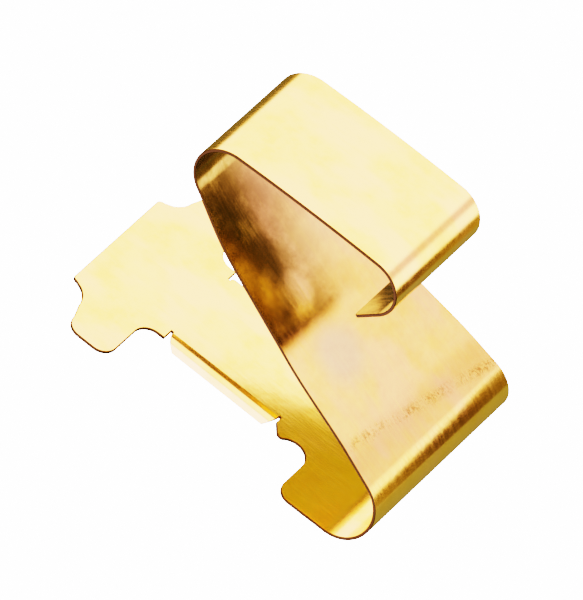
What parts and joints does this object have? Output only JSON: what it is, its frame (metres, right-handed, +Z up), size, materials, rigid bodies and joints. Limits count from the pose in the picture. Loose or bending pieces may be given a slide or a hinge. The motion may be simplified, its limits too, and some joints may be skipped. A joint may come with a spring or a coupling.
{
  "type": "sheet metal spring clip",
  "caption": "Folded brass leaf-spring clip: flat eared base, U-bend, rising tapered leaf and a hooked contact plate on top.",
  "frame": {"origin": "middle of the part's outline in plan, on the level of the flange feet that it stands on", "axes": "+X along the strip from the tongue end to the lower bend, +Y across the strip, +Z up from the base towards the contact plate"},
  "size_m": [0.0224, 0.015, 0.017],
  "materials": {
    "brass_sheet": "polished"
  },
  "bodies": {
    "base": {"base_plate": "brass_sheet", "near_side_flange": "brass_sheet", "far_side_flange": "brass_sheet", "lower_bend": "brass_sheet"},
    "leaf": {"spring_leaf": "brass_sheet", "upper_bend": "brass_sheet"},
    "contact": {"contact_plate": "brass_sheet", "hook_bend": "brass_sheet", "hook_lip": "brass_sheet"}
  },
  "joints": [
    {"name": "leaf_flex", "type": "hinge", "parent": "base", "child": "leaf", "pos_m": [0.00898, 0, 0.003], "axis": [0, -1, 0], "range_deg": [0, 12], "stiffness_Nm_per_rad": 0.07},
    {"name": "contact_flex", "type": "hinge", "parent": "leaf", "child": "contact", "pos_m": [-0.00574, 0, 0.01451], "axis": [0, 1, 0], "range_deg": [0, 10], "stiffness_Nm_per_rad": 0.07}
  ]
}
